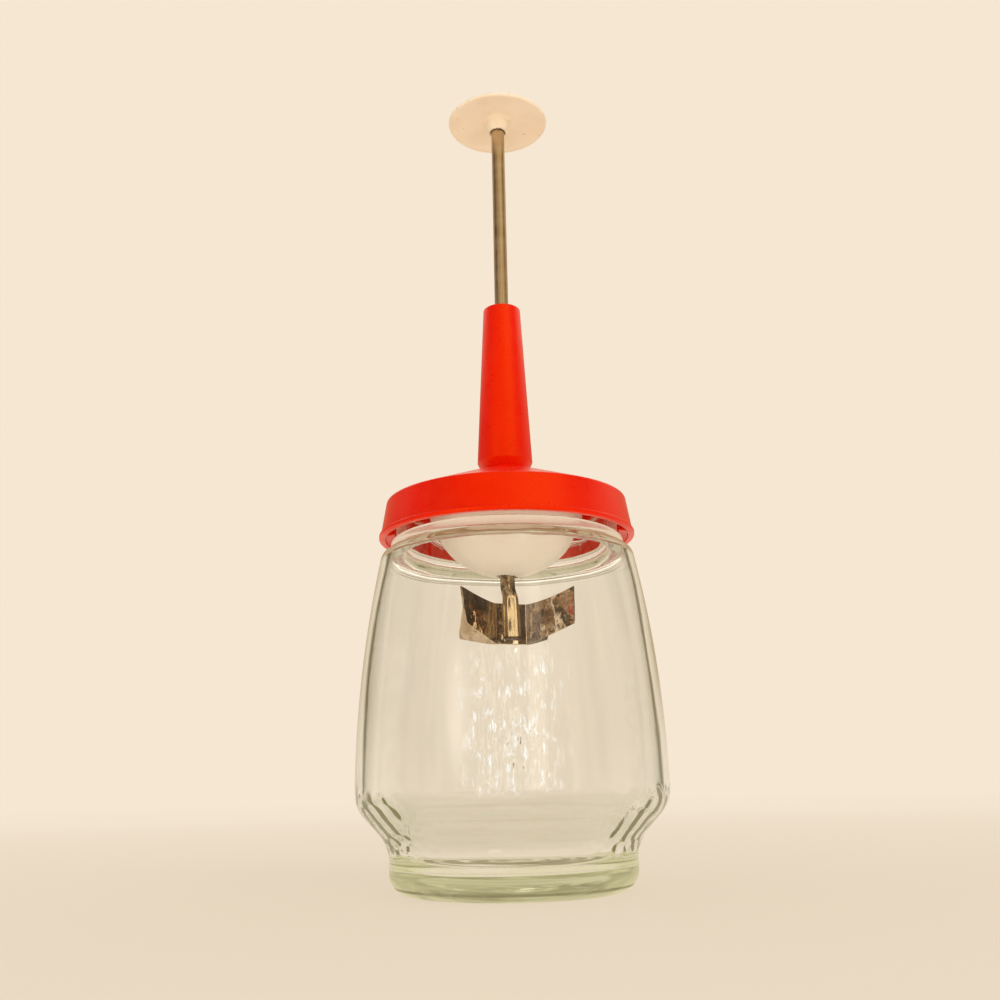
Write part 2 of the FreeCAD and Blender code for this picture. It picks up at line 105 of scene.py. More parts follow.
# ---- outlines
def arc(centre, radius, start, end, steps):
    """Points of an arc in an outline. Degrees are from outward, turning upward."""
    turns = np.radians(np.linspace(start, end, steps + 1))
    return [(centre[0] + radius * math.cos(t), centre[1] + radius * math.sin(t)) for t in turns]


def rounded(corners):
    """A closed outline from (radius, height, round) corners, with the rounds worked in."""
    points, steps = [], 5
    for number, corner in enumerate(corners):
        here = np.array(corner[:2], float)
        size = corner[2] if len(corner) > 2 else 0
        if size == 0:
            points.append(tuple(here))
            continue
        toward = [np.array(corners[k % len(corners)][:2], float) - here
                  for k in (number - 1, number + 1)]
        first, last = [d / np.linalg.norm(d) for d in toward]
        half = math.acos(np.clip(first @ last, -1, 1)) / 2
        middle = first + last
        centre = here + middle / np.linalg.norm(middle) * size / math.sin(half)
        start = here + first * size / math.tan(half) - centre
        end = here + last * size / math.tan(half) - centre
        start_turn = math.atan2(start[1], start[0])
        sweep = math.remainder(math.atan2(end[1], end[0]) - start_turn, 2 * math.pi)
        points += arc(centre, size, math.degrees(start_turn),
                      math.degrees(start_turn + sweep), steps)
    return points


def dense(points, spacing, closed=False):
    """The same outline with long straights divided."""
    result = []
    following = points[1:] + points[:1] if closed else points[1:]
    for here, there in zip(points, following):
        count = max(1, math.ceil(math.dist(here, there) / spacing))
        result += [(here[0] + (there[0] - here[0]) * k / count,
                    here[1] + (there[1] - here[1]) * k / count) for k in range(count)]
    return result if closed else result + [points[-1]]


# ---- meshes
def add_object(name, data):
    thing = bpy.data.objects.new(name, data)
    bpy.context.scene.collection.objects.link(thing)
    return thing


def make_piece(name, points, faces, body, slot, material, replaced, sharp=40):
    """A smooth-shaded mesh from points in metres, riding on a body. Edges bent by more than
    sharp degrees stay sharp."""
    points = np.asarray(points, float)
    mesh = bpy.data.meshes.new(name)
    mesh.from_pydata(points.tolist(), [], faces)
    mesh.validate()
    if signed_volume(mesh) < 0:
        mesh.flip_normals()
    mesh.polygons.foreach_set("use_smooth", [True] * len(mesh.polygons))
    mesh.set_sharp_from_angle(angle=math.radians(sharp))
    mesh.materials.append(material)
    piece = add_object(name, mesh)
    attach(piece, body)
    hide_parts(*replaced)
    return piece


def signed_volume(mesh):
    mesh.calc_loop_triangles()
    count = len(mesh.loop_triangles)
    corners = np.zeros(count * 3, int)
    mesh.loop_triangles.foreach_get("vertices", corners)
    points = np.zeros(len(mesh.vertices) * 3)
    mesh.vertices.foreach_get("co", points)
    a, b, c = points.reshape(-1, 3)[corners.reshape(-1, 3)].transpose(1, 0, 2)
    return float(np.einsum("ij,ij->i", a, np.cross(b, c)).sum())


def grid_faces(rows, columns, close_rows):
    """Faces of a grid of points whose columns close on themselves."""
    faces = []
    for row in range(rows if close_rows else rows - 1):
        low, high = row * columns, (row + 1) % rows * columns
        for column in range(columns):
            after = (column + 1) % columns
            faces.append((low + column, low + after, high + after, high + column))
    return faces


def capped_faces(rows, columns):
    """The same for an open grid, with both of its ends filled."""
    last = (rows - 1) * columns
    return grid_faces(rows, columns, False) + [list(range(columns))[::-1],
                                               [last + k for k in range(columns)]]


def turned(outline, columns, shape=None):
    """Points and faces of an outline turned about the axis. Ends on the axis are single points.
    Columns is how many there are, or their angles in radians."""
    outline = np.array(outline, float)
    turns = columns
    if isinstance(columns, int):
        turns = np.linspace(0, 2 * math.pi, columns, endpoint=False)
    columns = len(turns)
    radius, turn = np.meshgrid(outline[:, 0], turns, indexing="ij")
    height = np.repeat(outline[:, 1:], columns, axis=1)
    on_axis = radius < 1e-6
    if shape:
        radius, height = shape(radius, turn, height)
    points = np.stack([radius * np.cos(turn), radius * np.sin(turn), height], -1).reshape(-1, 3)
    open_ends = on_axis[0, 0] and on_axis[-1, 0]
    faces = grid_faces(len(outline), columns, not open_ends)
    if not open_ends:
        return points * MM, faces
    last = (len(outline) - 1) * columns
    merged = {k: 0 for k in range(columns)} | {last + k: last for k in range(columns)}
    used, tidy = {}, []
    for face in faces:
        corners = list(dict.fromkeys(merged.get(k, k) for k in face))
        tidy.append([used.setdefault(k, len(used)) for k in corners])
    order = sorted(used, key=used.get)
    return points[order] * MM, tidy


def smooth_step(value, low, high):
    share = np.clip((value - low) / (high - low), 0, 1)
    return share * share * (3 - 2 * share)


def band(value, low, high, edge):
    """One between low and high, falling to nothing over edge inside them."""
    return smooth_step(value, low, low + edge) * (1 - smooth_step(value, high - edge, high))


def waves(turn, height, seed, turns, lengths, count, slant=0.0):
    """Seeded waves that close round the axis, about 1 high, with lengths in millimetres."""
    draw = np.random.default_rng(seed)
    total = np.zeros_like(turn)
    for _ in range(count):
        number = int(draw.integers(*turns))
        length = draw.uniform(*lengths)
        lean = draw.uniform(-slant, slant)
        phase = draw.uniform(0, 2 * math.pi, 2)
        total += (np.sin(number * turn + lean * height + phase[0])
                  * np.cos(2 * math.pi * height / length + phase[1]))
    return total * math.sqrt(2 / count)


# ---- material building. Functions that take a socket or a shader build beside it.
def empty_tree(owner):
    owner.use_nodes = True
    owner.node_tree.nodes.clear()
    return owner.node_tree


def new_material(name, **values):
    """A material with a Principled shader, whose named sockets are set."""
    material = bpy.data.materials.new(name)
    tree = empty_tree(material)
    output = tree.nodes.new("ShaderNodeOutputMaterial")
    shader = tree.nodes.new("ShaderNodeBsdfPrincipled")
    tree.links.new(shader.outputs[0], output.inputs["Surface"])
    for socket, value in values.items():
        shader.inputs[socket.replace("_", " ")].default_value = value
    return material, tree, shader


def put(tree, kind, inputs=None, **settings):
    """A node with its settings and inputs. An input that is a socket is linked."""
    node = tree.nodes.new("ShaderNode" + kind)
    for key, value in settings.items():
        setattr(node, key, value)
    for key, value in (inputs or {}).items():
        if isinstance(value, bpy.types.NodeSocket):
            tree.links.new(value, node.inputs[key])
        else:
            node.inputs[key].default_value = value
    return node


def place(tree):
    return put(tree, "TexCoord").outputs["Object"]


def xyz(tree):
    """The place's x, y and z, in metres."""
    return put(tree, "SeparateXYZ", {0: place(tree)}).outputs[:3]


def from_axis(tree):
    """Distance from the object's axis, in metres."""
    squares = [product(side, side) for side in xyz(tree)[:2]]
    return maths("SQRT", maths("ADD", *squares))


def noise(tree, scale, detail, stretch=(1, 1, 1), rough=0.5):
    """Fine noise fixed to the piece. Scale is in waves per metre, stretch multiplies it."""
    spread = put(tree, "Mapping", {"Vector": place(tree), "Scale": stretch})
    node = put(tree, "TexNoise", {"Vector": spread.outputs[0], "Scale": scale,
                                  "Detail": detail, "Roughness": rough})
    return node.outputs["Fac"]


def scaled(value, low, high, new_low=0.0, new_high=1.0):
    """A value from low to high brought to new_low to new_high, and held beyond them."""
    node = put(value.id_data, "MapRange", {"Value": value, "From Min": low, "From Max": high,
                                           "To Min": new_low, "To Max": new_high})
    return node.outputs["Result"]


def maths(operation, first, second=0.0):
    node = put(first.id_data, "Math", {0: first, 1: second}, operation=operation)
    return node.outputs[0]


def product(first, *others):
    """Values multiplied together."""
    for other in others:
        first = maths("MULTIPLY", first, other)
    return first


def soft_box(value, low, high, edge):
    """One while value is between low and high, falling softly over edge outside them."""
    return product(scaled(value, low - edge, low), scaled(value, high, high + edge, 1.0, 0.0))


def ramp_mm(value, low, high, new_low=0.0, new_high=1.0):
    return scaled(value, low * MM, high * MM, new_low, new_high)


def box_mm(value, low, high, edge):
    return soft_box(value, low * MM, high * MM, edge * MM)


def glow(tree, colour, strength=1.0):
    return put(tree, "Emission", {"Color": colour, "Strength": strength}).outputs[0]


def mix_shaders(share, below, above):
    return put(share.id_data, "MixShader", {0: share, 1: below, 2: above}).outputs[0]


def blend(share, first, second):
    tree = share.id_data
    node = put(tree, "Mix", data_type="RGBA")
    colour_inputs = {"Factor_Float": share, "A_Color": first, "B_Color": second}
    for socket in node.inputs:
        if socket.identifier in colour_inputs:
            value = colour_inputs[socket.identifier]
            if isinstance(value, bpy.types.NodeSocket):
                tree.links.new(value, socket)
            else:
                socket.default_value = value
    return next(s for s in node.outputs if s.identifier == "Result_Color")


def bump(shader, height, distance, strength):
    """Relief on a shader. Distance is in millimetres."""
    tree = shader.id_data
    node = put(tree, "Bump", {"Height": height, "Strength": strength, "Distance": distance * MM})
    tree.links.new(node.outputs[0], shader.inputs["Normal"])


def surface(shader, colour, rough, relief, distance, strength):
    """Colour, roughness and relief of a shader."""
    links = shader.id_data.links
    links.new(colour, shader.inputs["Base Color"])
    links.new(rough, shader.inputs["Roughness"])
    bump(shader, relief, distance, strength)


def colour_steps(share, stops):
    """Colours blended between stops, each a share from 0 to 1 and a colour."""
    ramp = put(share.id_data, "ValToRGB", {"Fac": share})
    elements = ramp.color_ramp.elements
    elements[0].position, elements[1].position = stops[0][0], stops[-1][0]
    for position, _ in stops[1:-1]:
        elements.new(position)
    for element, (_, colour) in zip(elements, stops):
        element.color = linear(colour)
    return ramp.outputs["Color"]


# ---- materials
# Glowing tones painted into the thick glass, by height in tenths of a metre. They stand in for
# light seen in the glass, and the darker band over the flare is a painted shade.
PAINTED_GLASS_TONES = [(0.0, (226, 218, 170)), (0.03, (214, 206, 158)), (0.09, (192, 184, 140)),
               (0.12, (122, 112, 72)), (0.28, (122, 112, 72)), (0.4, (190, 178, 142)),
               (1.0, (222, 206, 178))]
# A cloudy darker glow over the flare, a painted shade.
FLARE_SHADE = (146, 146, 98)
# Dried runs on the back wall, painted white and glowing as their glints.
DRIED_RUN_GLINT = (1.0, 0.98, 0.93, 1.0)
# Painted shade: the base's left and right ends are darkened with the glowing tone.
BASE_END_SHADE = 0.6                 # how much of the tone shows at the left and right of the base
TRAPPED = 2.5                   # inner reflections after which light counts as trapped


def floor_ring_shade(tree, x, y, z, reach):
    """Uneven rings pressed into the floor inside, painted dark: a painted shade over the rings' low
    relief.
    """
    squeezed = [product(side, 0.12) for side in (x, y)]
    spread = put(tree, "CombineXYZ", {0: reach, 1: squeezed[0], 2: squeezed[1]})
    grain = put(tree, "TexNoise", {"Vector": spread.outputs[0], "Scale": 300.0, "Detail": 3.0})
    return product(scaled(grain.outputs["Fac"], 0.44, 0.54, 0.0, 0.75),
                   box_mm(z, 6.3, 7.3, 0.1), ramp_mm(reach, 31, 29),
                   ramp_mm(y, 26, 6, 0.3, 1.0))


def rings_painted_with_light_and_shade(tree, x, y, z, reach):
    """Rings on the jar painted with tones that stand in for light and shade seen in the glass:
    where, the colour, how far it replaces the one that goes with the height, and how much of the
    tone shows over the clear glass."""
    near = ramp_mm(y, 8, -4)
    # A painted dark line round the foot, a painted shade.
    foot_dark_line = box_mm(z, 2.2, 2.7, 0.35)
    # A painted highlight on the bead and a painted reflection of the lid on the shoulder, both on
    # the near side.
    bead_highlight = product(box_mm(z, 112.0, 114.5, 0.4), ramp_mm(reach, 38.4, 38.9), near)
    shoulder = product(box_mm(z, 108.6, 111.4, 0.5), ramp_mm(reach, 39.0, 39.6), near)
    # A painted dark line at the back of the shoulder, a painted shade.
    far_dark_line = product(box_mm(z, 107.1, 107.4, 0.2), ramp_mm(y, 6, 16))
    return [(foot_dark_line, (104, 92, 50), 0.8, 0.35), (bead_highlight, (244, 212, 184), 1.0, 0.45),
            (shoulder, (170, 130, 90), 1.0, 0.48), (far_dark_line, (140, 132, 98), 1.0, 0.5),
            (floor_ring_shade(tree, x, y, z, reach), (104, 90, 54), 1.0, 1.0)]


def painted_glass_tone(tree, x, y, z, reach):
    """A glowing tone painted over the thick glass in place of the light and shade seen in it, and
    how much of it shows: streaks over the base's outer part, the base's ends, and the rings."""
    tone = colour_steps(scaled(z, 0, 0.1), PAINTED_GLASS_TONES)
    # Streaks of the painted glowing tone over the base's outer part.
    layers = scaled(noise(tree, 420, 3.0, (0.06, 0.06, 1)), 0.42, 0.58, 0.15, 0.55)
    outer = maths("MAXIMUM", ramp_mm(reach, 31, 33), ramp_mm(z, 4, 3))
    share = product(ramp_mm(z, 7.2, 6), layers, outer)
    # Painted shade at the base's left and right ends.
    ends = product(ramp_mm(maths("ABSOLUTE", x), 24, 30), ramp_mm(z, 8, 6.5), BASE_END_SHADE)
    share = maths("MAXIMUM", share, ends)
    for ring, colour, depth, shown in rings_painted_with_light_and_shade(tree, x, y, z, reach):
        tone = blend(product(ring, depth), tone, linear(colour))
        share = maths("MAXIMUM", share, product(ring, shown))
    return tone, share


def dried_run_glints(tree, x, y, z):
    """Where water has dried in runs down the back wall, painted in as glowing white glints."""
    runs = scaled(noise(tree, 620, 3.0, (1, 1, 0.15), rough=0.7), 0.57, 0.605)
    patches = scaled(noise(tree, 230, 2.0), 0.42, 0.56)
    return product(runs, patches, ramp_mm(maths("ABSOLUTE", x), 22, 13),
                   ramp_mm(y, 28, 32), box_mm(z, 34, 74, 8), 0.95)


def glass_material():
    """Clear soda glass, faintly green where it is thick. Lamps and scattered light pass straight
    through. Light that is trapped in the thick base ends in a painted glowing tone, which is also
    painted over parts of the base and the rings; a darker glow over the flare is painted shade, and
    the dried runs are painted as glowing glints."""
    material, tree, shader = new_material(
        "jar_glass", Base_Color=(0.973, 0.967, 0.946, 1.0), Roughness=0.0, IOR=1.5,
        Transmission_Weight=1.0)
    bump(shader, noise(tree, 260, 2.0, (1, 1, 0.35)), 0.02, 0.5)
    rays = put(tree, "LightPath").outputs
    trapped = maths("GREATER_THAN", rays["Glossy Depth"], TRAPPED)
    light = maths("MAXIMUM", rays["Is Shadow Ray"], rays["Is Diffuse Ray"])
    x, y, z = xyz(tree)
    tone, painted_tone_share = painted_glass_tone(tree, x, y, z, from_axis(tree))
    tone = glow(tree, tone)
    # Painted shade: a cloudy darker glow over the flare.
    cloud = scaled(noise(tree, 260, 3.0, (0.05, 0.05, 1)), 0.38, 0.62, 0.035, 0.1)
    flare_shade = product(box_mm(z, 16, 28, 3), cloud)
    # Trapped light ends in the painted glow, and the painted places show it too.
    look = mix_shaders(trapped, shader.outputs[0], tone)
    look = mix_shaders(painted_tone_share, look, tone)
    look = mix_shaders(flare_shade, look, glow(tree, linear(FLARE_SHADE)))
    # Painted glints: the dried runs glow white.
    look = mix_shaders(dried_run_glints(tree, x, y, z), look, glow(tree, DRIED_RUN_GLINT, 1.1))
    clear = put(tree, "BsdfTransparent", {"Color": (0.97, 0.97, 0.96, 1.0)}).outputs[0]
    look = mix_shaders(light, look, clear)
    inside = put(tree, "VolumeAbsorption", {"Color": (0.53, 0.58, 0.28, 1.0), "Density": 12.0})
    output = next(n for n in tree.nodes if n.type == "OUTPUT_MATERIAL")
    tree.links.new(look, output.inputs["Surface"])
    tree.links.new(inside.outputs[0], output.inputs["Volume"])
    return material


def clouded(tree, scale, detail, low, high, first, second):
    """A colour that wanders between two."""
    cloud = scaled(noise(tree, scale, detail), low, high)
    return blend(cloud, linear(first), linear(second))


def uneven(tree, scale, detail, low, high):
    """A roughness that wanders between two."""
    return scaled(noise(tree, scale, detail), 0.3, 0.7, low, high)


def dark_ring(tree, scale, ragged, outer, inner):
    """Darkening close round the axis, with an edge that is ragged by so many millimetres."""
    edge = scaled(noise(tree, scale, 3.0), 0.35, 0.65, -ragged * MM, ragged * MM)
    return ramp_mm(maths("ADD", from_axis(tree), edge), outer, inner)


def red_material():
    """Moulded orange-red plastic, a little uneven in colour and gloss, with a few specks."""
    material, tree, shader = new_material("red_plastic", IOR=1.49, Specular_IOR_Level=0.6,
                                          Specular_Tint=(1.0, 0.6, 0.03, 1.0))
    colour = clouded(tree, 45, 3.0, 0.35, 0.65, (237, 10, 1), (242, 17, 1))
    specks = product(scaled(noise(tree, 700, 1.0), 0.735, 0.76), 0.35)
    colour = blend(specks, colour, linear((170, 20, 6)))
    surface(shader, colour, uneven(tree, 120, 4.0, 0.22, 0.36), noise(tree, 700, 3.0), 0.02, 0.35)
    return material


def cup_material():
    """Milky white plastic with a darker ring round the rod's hole."""
    material, tree, shader = new_material("cup_plastic", IOR=1.5, Subsurface_Weight=0.12,
                                          Subsurface_Scale=0.004)
    colour = clouded(tree, 60, 4.0, 0.3, 0.7, (250, 234, 222), (254, 242, 232))
    ring_darkening = dark_ring(tree, 700, 0.9, 3.5, 3.0)
    colour = blend(ring_darkening, colour, linear((92, 62, 36)))
    rough = maths("MAXIMUM", uneven(tree, 200, 3.0, 0.34, 0.5), ring_darkening)
    surface(shader, colour, rough, noise(tree, 500, 3.0), 0.02, 0.4)
    return material


def knob_material():
    """Ivory plastic with a few dark specks, and a darker ring round the rod in the hub's foot."""
    material, tree, shader = new_material("knob_plastic", IOR=1.5, Subsurface_Weight=0.1,
                                          Subsurface_Scale=0.003)
    colour = clouded(tree, 90, 4.0, 0.3, 0.7, (243, 224, 196), (250, 236, 212))
    specks = product(scaled(noise(tree, 620, 1.0), 0.74, 0.77), 0.6)
    colour = blend(specks, colour, linear((120, 92, 60)))
    ring_darkening = product(dark_ring(tree, 900, 0.3, 3.3, 2.6), ramp_mm(xyz(tree)[2], 281, 279))
    colour = blend(ring_darkening, colour, linear((110, 78, 48)))
    surface(shader, colour, uneven(tree, 150, 3.0, 0.36, 0.5), noise(tree, 380, 4.0), 0.03, 0.5)
    return material


def rod_material():
    """Drawn steel gone brown, with rings of tarnish and fine lines along it. The beaten tongue is
    glossier. It is darker in a ragged band where it begins, and at its foot it is painted dark, a
    painted shadow."""
    material, tree, shader = new_material("rod_steel", Metallic=1.0)
    lines = noise(tree, 1500, 3.0, (1, 1, 0.03))
    rings = noise(tree, 220, 4.0, (0.15, 0.15, 1))
    tone = maths("ADD", product(lines, 0.5), product(rings, 0.5))
    colour = blend(scaled(tone, 0.35, 0.65), linear((184, 158, 118)), linear((218, 198, 162)))
    height = xyz(tree)[2]
    # A darker ragged band where the tongue begins.
    dark_band = product(box_mm(height, 97, 103, 1.5),
                   scaled(noise(tree, 420, 4.0, rough=0.7), 0.42, 0.62))
    # Painted shadow at the tongue's foot, joined with the darker band.
    dark = maths("MAXIMUM", ramp_mm(height, 81.7, 81.2), dark_band)
    colour = blend(dark, colour, linear((74, 50, 30)))
    rough = maths("ADD", scaled(rings, 0.3, 0.7, 0.14, 0.3), ramp_mm(height, 98, 106, 0.0, 0.2))
    surface(shader, colour, rough, lines, 0.01, 0.5)
    return material


def blade_material():
    """Polished steel strip with brown stains and fine grinding marks."""
    material, tree, shader = new_material("blade_steel", Metallic=1.0)
    stain = scaled(noise(tree, 130, 5.0, rough=0.6), 0.45, 0.7)
    colour = blend(stain, linear((222, 206, 184)), linear((160, 128, 92)))
    surface(shader, colour, uneven(tree, 400, 3.0, 0.02, 0.09),
            noise(tree, 110, 3.0, rough=0.4), 1.0, 0.8)
    return material


def plain_metal(name, light, dark):
    material, tree, shader = new_material(name, Metallic=1.0)
    surface(shader, clouded(tree, 300, 4.0, 0.3, 0.7, light, dark),
            uneven(tree, 500, 2.0, 0.25, 0.4), noise(tree, 1200, 2.0), 0.01, 0.4)
    return material


def plain_soft(name, light, dark, low, high):
    """Rubber or plastic of the small pieces, with roughness from low to high."""
    material, tree, shader = new_material(name, IOR=1.5)
    surface(shader, clouded(tree, 250, 4.0, 0.3, 0.7, light, dark),
            uneven(tree, 400, 2.0, low, high), noise(tree, 900, 3.0), 0.02, 0.5)
    return material


# ---- jar
RIDGE_LOW = 118.8
RIDGE_HIGH = 120.4
RIDGE_DEPTH = 1.7
RIDGE_START = -70.0
RIDGE_END = -20.0
STOP_START = -50.0
STOP_END = -46.5
STOP_LOW = 116.4
STOP_DEPTH = 0.25               # share of the ridge's
BEAD = 1.55                     # radius of the bead under the ridges
# Turns of the jar's outline: centre and radius outside.
SHOULDER, SHOULDER_TURN = (39.7, 107.2), 4
BELLY, BELLY_TURN = (39.3, 31.77), 12
WAIST, WAIST_TURN = (53, 9.8), 13
FOOT, FOOT_TURN = (33, 7), 7
SWEEP_RADIUS = 382.1            # of the long curve from belly to shoulder
FLARE = 43.0                    # degrees that the wall leans between belly and waist
BASE_HOLLOW = 1.8
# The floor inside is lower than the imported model's, as the photo shows it through the glass.
INNER_FLOOR = 6.8
FLOOR_EDGE, FLOOR_TURN = (29.629, 14.8), 8
FLOOR_MEETS = 12.08             # degrees on its turn at which the floor's edge meets the waist


def jar_sweep(wall, steps):
    """The long curve set in by wall, and the degrees at which it meets the shoulder."""
    centre = (BELLY_RADIUS - SWEEP_RADIUS, BELLY[1])
    end = math.degrees(math.atan2(SHOULDER[1] - centre[1], SHOULDER[0] - centre[0]))
    return arc(centre, SWEEP_RADIUS - wall, 0, end, steps), end


def jar_outline():
    """Once round the glass, from the hollow of the base to the middle of the floor inside."""
    sweep, end = jar_sweep(0, 18)
    inner_sweep, _ = jar_sweep(JAR_WALL, 70)
    under = dense([(0, BASE_HOLLOW), (25.5, BASE_HOLLOW)], 4)
    standing_ring = [(27, 1.45), (28.5, 0.7), (29.5, 0.15), (30.2, 0.0), (32.2, 0.0)]
    outside = (under + standing_ring + arc(FOOT, FOOT_TURN, -88, 0, 10)
               + arc(WAIST, WAIST_TURN, 180, 180 - FLARE, 9)
               + arc(BELLY, BELLY_TURN, -FLARE, 0, 10) + sweep[1:]
               + arc(SHOULDER, SHOULDER_TURN, end, 90, 10)[1:]
               + arc((NECK_RADIUS + 0.3, 113.25), BEAD, -78, 78, 16))
    neck = dense([(NECK_RADIUS, 115.1), (NECK_RADIUS, 121.2)], 0.36)
    lip = arc((NECK_RADIUS - 0.8, JAR_HEIGHT - 0.8), 0.8, 0, 90, 5)
    inner_lip = arc((NECK_BORE + 0.8, JAR_HEIGHT - 0.8), 0.8, 90, 180, 5)
    bore = dense([(NECK_BORE, 122.0), (NECK_BORE, 111.0)], 1.5)
    throat = arc((NECK_BORE + 1.7, 110.0), 1.7, 180, 270, 6)
    shoulder = arc(SHOULDER, SHOULDER_TURN - JAR_WALL, 90, end, 5)
    inside = (inner_sweep[::-1] + arc(BELLY, BELLY_TURN - JAR_WALL, 0, -FLARE, 7)[1:]
              + arc(WAIST, WAIST_TURN + JAR_WALL, 180 - FLARE, 180 - FLOOR_MEETS, 8)
              + arc(FLOOR_EDGE, FLOOR_TURN, -FLOOR_MEETS, -90, 9)[1:])
    floor = dense([(29.1, INNER_FLOOR), (0, INNER_FLOOR)], 1.15)
    return outside + neck + lip + inner_lip + bore + throat + shoulder + inside + floor


def jar_ridges(radius, degrees, height):
    """Locking ridges and their stops, standing out from the neck."""
    neck = (np.abs(radius - NECK_RADIUS) < 0.01) & (height > 115)
    sector = (degrees - RIDGE_START) % 90
    ridge = (band(sector, 0, RIDGE_END - RIDGE_START, 5)
             * band(height, RIDGE_LOW, RIDGE_HIGH, 0.75))
    stop_sector = (degrees - STOP_START) % 90
    stop = (band(stop_sector, 0, STOP_END - STOP_START, 1.7)
            * band(height, STOP_LOW, RIDGE_HIGH, 0.9))
    return neck * RIDGE_DEPTH * np.maximum(ridge, STOP_DEPTH * stop)


def droplets(degrees, height):
    """Short runs in the glass on the inside of the back wall, which sparkle."""
    draw = np.random.default_rng(11)
    relief = np.zeros_like(degrees)
    across = 0.8                # millimetres in a degree there
    for _ in range(230):
        turn = 90 + draw.normal(-2, 11)
        middle = draw.uniform(30, 84) if draw.random() < 0.65 else draw.normal(42, 7)
        width, length = draw.uniform(0.4, 0.75), draw.uniform(0.9, 3.6)
        rise = draw.uniform(0.5, 0.85) * width / 0.6
        sway = (degrees - turn) * across + 0.08 * (height - middle)
        relief += rise * np.exp(-(sway / width) ** 2 - ((height - middle) / length) ** 2)
    return relief


def jar_shape(mouth_row):
    """The ridges, and the unevenness of pressed glass. Rows after the mouth's are inside."""
    def shape(radius, turn, height):
        degrees = np.degrees(turn)
        inner = np.arange(radius.shape[0])[:, None] > mouth_row
        ridges = jar_ridges(radius, degrees, height)
        body = band(height, 9.0, 109.0, 14)
        broad = waves(turn, height, 12, (3, 9), (60, 160), 14)
        sides = smooth_step(np.abs(np.cos(turn)), 0.45, 0.85)
        flare = (band(height, 11, 33, 6) * sides
                 * waves(turn, height, 17, (14, 46), (5, 14), 34, 0.1))
        throat = band(height, 106.5, 113.0, 3) * waves(turn, height, 14, (5, 22), (20, 60), 12)
        inside = body * 0.05 * broad + droplets(degrees, height) + 0.3 * flare + 0.12 * throat
        skin = waves(turn, height, 15, (3, 8), (60, 160), 12) / 2.5
        outside = -0.05 * band(height, 12.0, 108.0, 12) * (1 + skin)
        bottom = inner * (radius < 33) * (height < 12) * smooth_step(radius, 2, 8)
        rings = waves(turn, radius, 16, (0, 3), (2.6, 5.5), 12)
        new_radius = radius + ridges + np.where(inner & (radius > 33), inside, 0) + ~inner * outside
        return new_radius, height + 0.18 * bottom * rings
    return shape


# ---- lid and what it carries
def cone_underside(radius):
    return LID_EDGE + (SKIRT_TOP - radius) * CONE_SLOPE - CONE_WALL


def skirt_radius(height):
    return SKIRT_TOP + SKIRT_DRAFT * (LID_EDGE - height) / (LID_EDGE - LID_BOTTOM)


def lid_outline():
    lip_top = LID_BOTTOM + 1.5
    lip = SKIRT_TOP + SKIRT_DRAFT + 0.35
    inner_foot = SKIRT_TOP + SKIRT_DRAFT - LID_WALL
    cup_rib, seal_rib, nut_seat, hole = 25.78, 34.78, 136.918, 7.32
    return dense(rounded([
        (inner_foot, LID_BOTTOM, 0.25),
        (lip, LID_BOTTOM, 0.5),
        (lip, lip_top, 0.4),
        (skirt_radius(lip_top), lip_top, 0.15),
        (SKIRT_TOP, LID_EDGE, 0.8),
        (8.5, LID_TOP, 1.2),
        (hole, LID_TOP),
        (hole, nut_seat),
        (12.92, nut_seat, 0.5),
        (cup_rib - 1.7, cone_underside(cup_rib - 1.7), 0.3),
        (cup_rib - 1.7, cone_underside(cup_rib) - 3.0, 0.3),
        (cup_rib, cone_underside(cup_rib) - 3.0, 0.3),
        (cup_rib, cone_underside(cup_rib), 0.3),
        (seal_rib - 1.3, cone_underside(seal_rib - 1.3), 0.3),
        (seal_rib - 1.3, SEAL_TOP - 0.9, 0.25),
        (seal_rib, SEAL_TOP - 0.9, 0.25),
        (seal_rib, SEAL_TOP, 0.15),
        (skirt_radius(SEAL_TOP) - LID_WALL, SEAL_TOP, 0.6),
        (skirt_radius(119.0) - LID_WALL, 119.0),
        (skirt_radius(118.9) - LID_WALL, 118.9),
        (skirt_radius(115.9) - LID_WALL, 115.9),
    ]), 0.56, closed=True)


LUG_LOW = 116.4
LUG_HIGH = 118.3
LUG_RADIUS = 38.9


def lid_shape(radius, turn, height):
    """Lugs inside the skirt, and the slight unevenness of a moulding."""
    sector = (np.degrees(turn) + 10) % 90
    inside = (radius < skirt_radius(height) - LID_WALL + 0.1) & (radius > 39.5)
    lug = inside * band(sector, 0, 20, 1.0) * band(height, LUG_LOW - 0.1, LUG_HIGH + 0.1, 0.4)
    radius = radius + lug * (LUG_RADIUS - radius)
    skirt = (radius > SKIRT_TOP - 1) & ~inside
    radius = radius - skirt * 0.05 * (1 + waves(turn, height, 21, (2, 7), (30, 60), 8) / 2.5)
    return radius, height


def sleeve_outline():
    spigot, foot, base, top = 7.2, 8.3, 9.75, 6.75
    bush_hole = ROD_GUIDE + 0.9 + 0.02
    return rounded([
        (SLEEVE_BORE, 132.318, 0.3),
        (spigot, 132.318, 0.4),
        (spigot, LID_TOP),
        (foot, LID_TOP, 0.15),
        (base, LID_TOP + 3.0, 0.35),
        (top, SLEEVE_TOP, 0.5),
        (bush_hole, SLEEVE_TOP, 0.2),
        (bush_hole, CAP_UNDERSIDE),
        (SLEEVE_BORE, CAP_UNDERSIDE),
    ])


def bush_outline():
    barrel, flange, top = ROD_GUIDE + 0.9, SLEEVE_BORE - 0.12, SLEEVE_TOP - 0.3
    return rounded([
        (ROD_GUIDE, 196.8, 0.15), (flange, 196.8, 0.15), (flange, CAP_UNDERSIDE),
        (barrel, CAP_UNDERSIDE), (barrel, top, 0.15), (ROD_GUIDE, top, 0.2)])


